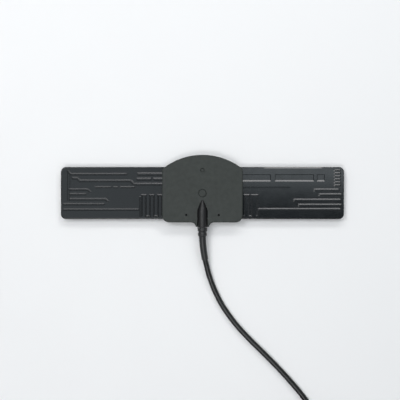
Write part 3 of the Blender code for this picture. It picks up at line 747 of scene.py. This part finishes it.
# Sunk channels: (x range, y range, depth, widths of the far and near walls)
CHANNELS = (
    ((36.0, 67.5), (9.4, 16.4), 0.6, (0.5, 1.4)),
    ((71.7, 110.2), (9.4, 16.4), 0.6, (0.5, 1.4)),
    ((113.2, 120.8), (9.4, 16.4), 0.6, (0.5, 1.4)),
    ((36.0, 86.5), (2.8, 4.2), 0.4, (0.6, 0.4)),
    ((-133.6, -130.7), (-9.9, 19.0), 0.4, (0.3, 0.2)),
)
CHANNEL_END = 0.55
CHAMFER_SPAN = (61.0, 118.0)
CHAMFER_WIDTH = 1.5
CHAMFER_DEPTH = 0.6


def panel_outline(inset):
    """The panel seen from above, drawn in by an inset."""
    x = PANEL_HIGH.x - inset
    y_range = (PANEL_LOW.y + inset, PANEL_HIGH.y - inset)
    return rectangle((-x, x), y_range, PANEL_CORNER - inset)


def beside(before, at, after, offset):
    """The point beside a path's corner, at an offset from both of its sides."""
    into = (at - before).normalized() if before else (after - at).normalized()
    out = (after - at).normalized() if after else into
    square = Vector((-into.y, into.x))
    normal = (square + Vector((-out.y, out.x))).normalized()
    return at + normal * offset / normal.dot(square)


def ridge_section(width):
    """Points (across, up) of a raised line, its width taken halfway up its two slopes."""
    top = max(width / 2 - RIDGE_RUN / 2, 0.05)
    root = width / 2 + RIDGE_RUN / 2
    right = ((top, RIDGE_HEIGHT), (root, 0.0), (root, -RIDGE_ROOT))
    left = tuple((-across, up) for across, up in reversed(right))
    return left + right


def ridge(shape, path, width):
    """A raised line along a path, its ends sloped like its sides."""
    places = [Vector(place) for place in path]
    start = (places[1] - places[0]).normalized() * RIDGE_RUN
    end = (places[-1] - places[-2]).normalized() * RIDGE_RUN
    places = [places[0], places[0] + start] + places[1:-1] + [places[-1] - end, places[-1]]
    rings = []
    for i, place in enumerate(places):
        before = places[i - 1] if i else None
        after = places[i + 1] if i + 1 < len(places) else None
        rise = 1.0 if before and after else RIDGE_END_RISE
        ring = []
        for across, up in ridge_section(width):
            point = beside(before, place, after, across)
            ring.append((point.x, point.y, PANEL_FACE + (up * rise if up > 0 else up)))
        rings.append(ring)
    loft(shape, rings)


def make_ridges():
    """All the raised lines in one mesh: the single lines, the meanders and the short bars."""
    shape = bmesh.new()
    for width, path in RIDGES:
        ridge(shape, path, width)
    low, high = HOOP_FEET
    for hoops in (LEFT_HOOPS, RIGHT_HOOPS):
        path = []
        for a, b in hoops:
            path += [(a, low), (a, high), (b, high), (b, low)]
        ridge(shape, path, THIN_LINE)
    for bar in range(END_BARS):
        y = END_BAR_FIRST + bar * END_BAR_PITCH
        ridge(shape, [(x, y) for x in END_BAR_SPAN], THIN_LINE)
    finish_mesh("panel_lines", shape, "panel_gloss", "line_gloss", angle=8.0)


def channel_tool(name, x_range, y_range, depth, walls):
    """A cutter whose walls slope outwards; above the face they go on as far again."""
    (x0, x1), (y0, y1) = x_range, y_range
    rings = []
    for z, share in ((PANEL_FACE - depth, 0.0), (PANEL_FACE + depth, 2.0)):
        end, far, near = [wall * share for wall in (CHANNEL_END, *walls)]
        left, right = x0 + CHANNEL_END - end, x1 - CHANNEL_END + end
        low, high = y0 + walls[1] - near, y1 - walls[0] + far
        rings.append([(left, low, z), (right, low, z), (right, high, z), (left, high, z)])
    shape = bmesh.new()
    loft(shape, rings)
    return linked_mesh(name, shape)


def top_chamfer():
    """A cutter that slopes the far edge of the right wing for most of its length."""
    low, high = PANEL_HIGH.y - CHAMFER_WIDTH, PANEL_HIGH.y + CLEAR
    top = PANEL_FACE + 2 * CLEAR
    fall = CHAMFER_DEPTH * (high - low) / CHAMFER_WIDTH
    section = ((low, PANEL_FACE), (high, PANEL_FACE - fall), (high, top), (low, top))
    shape = bmesh.new()
    loft(shape, [[(x, y, z) for y, z in section] for x in CHAMFER_SPAN])
    return linked_mesh("top_chamfer", shape)


def window(name, low_z, high_z):
    """A cutter for the opening inside the hub, through a plate between two heights."""
    half, low, high = WINDOW
    outline = rectangle((-half, half), (low, high), WINDOW_CORNER, 4)
    return prism(name, outline, (low_z - 3 * CLEAR, high_z + 3 * CLEAR))


def passages(name):
    """Cutters for the two screw posts that pass through the panel."""
    low, high, radius = PASSAGE
    places = [place for place in SCREW_PLACES if place[1] < 0]
    return [rod(f"{name}_{i}", (*p, low), (*p, high), radius, radius) for i, p in enumerate(places)]


def make_panel_front():
    """The glossy front with its rounded edge, sunk channels and sloped far edge."""
    shape = rounded_block(panel_outline, (PANEL_LOW.z, PANEL_FACE), 0.0, PANEL_EDGE, 6)
    front = finish_mesh("panel_skin", shape, "panel_gloss")
    hollow_range = (PANEL_LOW.z - 2 * CLEAR, PANEL_FACE - PANEL_SKIN)
    hollow = prism("panel_hollow", panel_outline(PANEL_WALL), hollow_range)
    cuts = [hollow, window("panel_opening", PANEL_LOW.z, PANEL_FACE)] + passages("panel_passage")
    cuts += [channel_tool(f"channel_{i}", *values) for i, values in enumerate(CHANNELS)]
    cuts.append(top_chamfer())
    carve(front, [("DIFFERENCE", tool) for tool in cuts], angle=17.0)
    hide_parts("panel_front")


def make_panel_back():
    """The plate that closes the panel from behind."""
    low, high = cad_box("panel_back")
    inset = PANEL_WALL + GAP
    shape = rounded_block(lambda more: panel_outline(inset + more), (low.z, high.z), 0.3, 0.0, 3)
    back = finish_mesh("panel_rear", shape, "panel_back_plastic")
    cuts = [window("rear_opening", low.z, high.z)] + passages("rear_passage")
    carve(back, [("DIFFERENCE", tool) for tool in cuts])
    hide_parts("panel_back")


# ---------------------------------------------------------------- hub


def hub_outline(inset):
    """The hub seen from above, drawn in by an inset."""
    side = HUB_HALF_WIDTH - inset
    shoulder = HUB_SHOULDER - inset
    corner = HUB_CORNER - inset
    flare = NECK_FLARE + inset
    bottom = HUB_BOTTOM_Y + inset
    end = NECK_END_Y + inset
    flare_y = bottom - flare
    flare_start = 180 - math.degrees(math.asin(max(0.0, (end - flare_y) / flare)))
    flare_x = NECK_HALF_WIDTH + NECK_FLARE
    shoulder_x = side - shoulder
    rise = math.sqrt((HUB_ARC - inset - shoulder) ** 2 - shoulder_x**2)
    meeting = math.degrees(math.atan2(rise, shoulder_x))
    sweep = arc((flare_x, flare_y), flare, flare_start, 90, 8)
    right = [(sweep[0][0], end)] + sweep
    right += arc((side - corner, bottom + corner), corner, -90, 0, 10)
    right += arc((shoulder_x, HUB_ARC_CENTRE + rise), shoulder, 0, meeting, 8)
    right += arc((0.0, HUB_ARC_CENTRE), HUB_ARC - inset, meeting, 90, 28)[1:]
    left = [(-x, y) for x, y in reversed(right[:-1])]
    return right + left


def pencil(radius, end_y):
    """A pencil shape along the cable: a round body, then a cone rounded a little at both ends."""
    cone = end_y - BULGE_SHOULDER_Y
    shoulder = BULGE_SHOULDER_Y - EXIT[1]
    profile = [(radius - BULGE_EDGE, 0.0), (radius, BULGE_EDGE)]
    profile += [(radius, shoulder - 0.8), (radius - 0.1, shoulder)]
    for part in (0.1, 0.3, 0.5, 0.7, 0.9):
        bow = BULGE_BOW * math.sin(math.pi * part)
        profile.append((radius * (1 - part) + bow, shoulder + cone * part))
    profile.append((0.15, shoulder + cone))
    shape = bmesh.new()
    turned(shape, profile, EXIT, (0, 1, 0), 56)
    return shape


def make_bulge():
    """The pencil-shaped bulge over the cable, in black rubber darkened further as painted shade for its
    unlit side, seated in the cover with a narrow gap round it.
    """
    shape = pencil(BULGE_RADIUS - BULGE_GAP, BULGE_TIP_Y)
    bulge = finish_mesh("cable_bulge", shape, "relief_rubber", "shade_darkened_bulge_rubber")
    start = (0.0, EXIT[1] - 3 * CLEAR, EXIT[2])
    shoulder = (0.0, BULGE_SHOULDER_Y, EXIT[2])
    channel = rod("bulge_channel", start, shoulder, CHANNEL_RADIUS, CHANNEL_RADIUS)
    carve(bulge, [("DIFFERENCE", channel)])


def mark_tool(name, x, y, radius):
    """A thin ring-shaped groove, its outer side sloping in and its inner side upright."""
    inner = radius - MARK_WIDTH
    profile = [(radius + CLEAR, CLEAR), (inner + MARK_BOTTOM, -MARK_DEPTH)]
    profile += [(inner, -MARK_DEPTH), (inner, CLEAR)]
    shape = bmesh.new()
    turned(shape, profile, (x, y, COVER_TOP), (0, 0, 1), 48, closed=True)
    return linked_mesh(name, shape)


def panel_notch():
    """A cutter for the notch in which the panel lies."""
    reach = HUB_HALF_WIDTH + 5 * CLEAR
    y_range = (PANEL_LOW.y - GAP, PANEL_HIGH.y + GAP)
    outline = rectangle((-reach, reach), y_range, NOTCH_CORNER, 2)
    return prism("panel_notch", outline, (HUB_LOW.z - 3 * CLEAR, PANEL_FACE + NOTCH_LIFT))


def make_hub_cover():
    """The matt housing's front with the bulge's slot, screw posts, pin holes and marks."""
    shape = rounded_block(hub_outline, (HUB_LOW.z, COVER_TOP), 0.0, HUB_EDGE, 6)
    cover = finish_mesh("hub_shell", shape, "hub_matt_plastic")
    inside = prism("hub_inside", hub_outline(COVER_WALL), (HUB_LOW.z - 2 * CLEAR, COVER_ROOF))
    notch = panel_notch()
    slot = linked_mesh("bulge_slot", pencil(BULGE_RADIUS + BULGE_GAP, BULGE_TIP_Y + BULGE_TIP_GAP))
    tools = [("DIFFERENCE", tool) for tool in (inside, notch, slot)]
    tools += upright_tools(SCREW_PLACES, POST_RODS)
    tools += upright_tools(PIN_PLACES, PIN_RODS)
    tools.append(("DIFFERENCE", mark_tool("small_mark", *SMALL_MARK)))
    tools.append(("DIFFERENCE", mark_tool("large_mark", *LARGE_MARK)))
    carve(cover, tools)
    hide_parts("hub_cover")


def make_hub_base():
    """The housing's rear with seats for the screws, recesses for the feet and posts for the board."""
    shape = rounded_block(hub_outline, (BASE_BOTTOM, BASE_TOP), BASE_EDGE, 0.0, 5)
    base = finish_mesh("hub_rear", shape, "base_matt_plastic")
    inside = prism("base_inside", hub_outline(BASE_WALL), (BASE_FLOOR, BASE_TOP + 2 * CLEAR))
    tools = [("DIFFERENCE", inside)]
    tools += upright_tools(SCREW_PLACES, SEAT_RODS)
    tools += upright_tools(FOOT_PLACES, FOOT_RODS, 40)
    tools += upright_tools(BOARD_POST_PLACES, BOARD_RODS)
    carve(base, tools)
    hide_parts("hub_base")


def make_feet():
    """Round rubber feet with softened lower edges."""
    for number, place in enumerate(FOOT_PLACES, 1):
        shape = bmesh.new()
        turned(shape, FOOT_PROFILE, (*place, 0.0), (0, 0, 1))
        foot = finish_mesh(f"foot_pad_{number}", shape, "foot_rubber")
        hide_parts(f"rubber_foot_{number}")


def slot_tool(place, turn):
    """A cutter for one bar of a cross recess, narrowing upwards into a head that faces down."""
    spin = Matrix.Rotation(turn, 2)
    rings = []
    for z, length, width in SLOT_ENDS:
        corners = ((length, width), (-length, width), (-length, -width), (length, -width))
        spun = [Vector(place) + spin @ Vector(corner) for corner in corners]
        rings.append([(point.x, point.y, z) for point in spun])
    shape = bmesh.new()
    loft(shape, rings)
    return linked_mesh("slot", shape)


def screw_profile():
    """A screw from its tip down to its pan head, its thread drawn as even ridges."""
    profile = list(SCREW_TIP)
    height = SCREW_THREAD_TOP
    while height > SCREW_THREAD_BOTTOM:
        profile += [(SCREW_RIDGE_RADIUS, height), (SCREW_ROOT_RADIUS, height - SCREW_PITCH / 2)]
        height -= SCREW_PITCH
    return profile + list(SCREW_HEAD)


def make_hub_screws():
    """Pan-head screws with cross recesses, their heads down in the base."""
    for number, place in enumerate(SCREW_PLACES, 1):
        shape = bmesh.new()
        turned(shape, screw_profile(), (*place, SCREW_BOTTOM), (0, 0, 1), 32)
        screw = finish_mesh(f"pan_screw_{number}", shape, "screw_steel")
        carve(screw, [("DIFFERENCE", slot_tool(place, turn)) for turn in SLOT_TURNS])
        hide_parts(f"hub_screw_{number}")


# ---------------------------------------------------------------- strain relief, tie and connector


def relief_radius(along, left):
    """The strain relief's radius at a distance from its start, with a distance left to its end."""
    for (start, first), (end, second) in zip(RELIEF_PROFILE, RELIEF_PROFILE[1:]):
        if start <= along < end:
            return first + (second - first) * (along - start) / (end - start)
    sleeve_start, radius = RELIEF_PROFILE[-1]
    radius -= SLEEVE_TAPER * (along - sleeve_start) / SLEEVE_LENGTH
    span, depth = SLEEVE_END
    if left < span:
        radius -= depth * (1 - left / span) ** 2
    return radius


def make_relief():
    """The moulded collar, groove, ring and sleeve on the lead, bent with it."""
    route = smooth_route(RELIEF_ROUTE + LEAD_ROUTE[:1], RELIEF_STEP)
    last = len(route) - 1
    radii = [relief_radius(i * RELIEF_STEP, (last - i) * RELIEF_STEP) for i in range(len(route))]
    shape = bmesh.new()
    swept(shape, route, radii, 40)
    relief = finish_mesh("relief_sleeve", shape, "relief_rubber")
    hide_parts("strain_relief")
    return relief


def strap_ring(point, out, half_width):
    """The strap's section at a point; its thickness lies along the direction out."""
    sides = ((-1, -1), (-1, 1), (1, 1), (1, -1))
    across = Vector((0, half_width, 0))
    return [point + across * side + out * depth * TIE_HALF_THICKNESS for side, depth in sides]


def make_tie():
    """A woven strap closed round the coil's turns, its free end lapped over and lifted a little."""
    top = cad_box("cable_coil")[1].z + TIE_GAP
    x_range = (TIE_INNER, COIL_OUTER + CABLE_RADIUS + TIE_GAP)
    path = [Vector((x, 0, z)) for x, z in rectangle(x_range, (TIE_LOW_Z, top), TIE_CORNER)]
    loop = []
    for before, point, after in zip(path[-1:] + path, path, path[1:] + path[:1]):
        ahead = (after - before).normalized()
        loop.append(strap_ring(point, Vector((ahead.z, 0, -ahead.x)), TIE_HALF_WIDTH))
    lap_path = [Vector((x, 0, top + lift)) for x, lift in TIE_END]
    lap = [strap_ring(point, Vector((0, 0, 1)), TIE_END_HALF_WIDTH) for point in lap_path]
    shape = bmesh.new()
    loft(shape, loop, closed=True)
    loft(shape, lap)
    turn = Matrix.Translation((*COIL_CENTRE, 0.0)) @ Matrix.Rotation(math.radians(TIE_ANGLE), 4, "Z")
    bmesh.ops.transform(shape, matrix=turn, verts=shape.verts)
    tie = finish_mesh("strap_tie", shape, "tie_strap")
    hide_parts("coil_tie")
    return tie


def plug_piece(name, profile, slot, node, closed=False, steps=48):
    """A turned piece of the connector."""
    shape = bmesh.new()
    turned(shape, profile, PLUG_START, TOWARDS_TIP, steps, closed)
    piece = finish_mesh(name, shape, slot)
    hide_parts(node)
    return piece


def boot_profile():
    """The moulded boot: a flexible ribbed tail, then a smooth grip with a rounded front."""
    profile = [(2.75, 0.2), (3.3, 0.0)]
    for rib in range(RIBS):
        start = RIB_START + rib * RIB_PITCH
        crest = RIB_RADIUS + rib * RIB_GROWTH
        root = crest - RIB_DEPTH
        profile += [(crest, start), (crest, start + 0.8), (root, start + 0.95), (root, start + 1.4)]
    profile += [(4.65, 7.2), (4.95, 8.4), (5.15, 10.0), (5.2, 12.0), (5.2, 16.6), (5.1, 17.5), (4.8, 17.95)]
    profile += [(3.2, 18.0), (3.2, 14.0), (2.75, 14.0)]
    return profile


def nut_bore():
    """The nut's bore with its thread as even grooves."""
    ridge_radius = THREAD_RIDGE_RADIUS
    profile = [(3.9, 18.0), (3.9, 22.6), (ridge_radius, 22.6)]
    along = THREAD_START
    while along < THREAD_END:
        profile += [(ridge_radius, along), (THREAD_ROOT_RADIUS, along + 0.35), (ridge_radius, along + 0.7)]
        along += THREAD_PITCH
    profile += [(4.6, 31.2), (5.2, 31.8), (5.2, 34.0)]
    return profile


def turned_tool(name, profile):
    """A turned cutter or mould on the connector's axis."""
    shape = bmesh.new()
    turned(shape, profile, PLUG_START, TOWARDS_TIP, 64)
    return linked_mesh(name, shape)


def make_nut():
    """The hexagonal coupling nut, its corners rounded off at both ends."""
    corner = NUT_ACROSS_FLATS / math.sqrt(3)
    across, up = axes_about(TOWARDS_TIP)
    shape = bmesh.new()
    ends = [PLUG_START + TOWARDS_TIP * along for along in NUT_ENDS]
    loft(shape, [circle_ring(corner, 6, (up, across), end) for end in ends])
    nut = finish_mesh("hex_nut", shape, "connector_nickel", body=NUT_BODY)
    rounding = [(5.0, 20.4), (5.75, 20.7), (6.6, 21.4), (6.6, 30.8), (5.75, 31.5), (5.0, 31.8)]
    tools = [("INTERSECT", turned_tool("nut_rounding", rounding))]
    tools.append(("DIFFERENCE", turned_tool("nut_bore", nut_bore())))
    carve(nut, tools)
    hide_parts("connector_nut")
    return nut


def make_connector():
    """The boot, body, insulator and pin, and the nut that turns on the body."""
    boot = plug_piece("grip_boot", boot_profile(), "boot_plastic", "connector_boot", closed=True)
    barrel = [(2.5, 14.3), (2.9, 14.3), (2.9, 18.3), (4.9, 18.3), (5.0, 18.45), (5.0, 20.1), (4.9, 20.25)]
    barrel += [(3.6, 20.3), (3.6, 22.9), (4.2, 22.95), (4.2, 24.0), (4.1, 24.1), (2.5, 24.1)]
    body = plug_piece("plug_barrel", barrel, "connector_nickel", "connector_body", closed=True)
    core = [(0.8, 14.6), (2.2, 14.6), (2.2, 23.9), (0.8, 23.9)]
    insulator = plug_piece("plug_core", core, "coax_dielectric", "connector_insulator", closed=True)
    wire = [(0.05, 14.6), (0.5, 14.6), (0.5, 32.7), (0.35, 33.05), (0.05, 33.2)]
    pin = plug_piece("plug_pin", wire, "coax_copper", "connector_pin", steps=24)
    return [boot, body, insulator, pin, make_nut()]


make_camera()
make_light()
lead, lead_length = make_lead()
relief = make_relief()
tie = make_tie()
connector = make_connector()
make_floor()
repaint_cad()
make_panel_front()
make_ridges()
make_panel_back()
make_hub_cover()
make_bulge()
make_hub_base()
make_feet()
make_hub_screws()
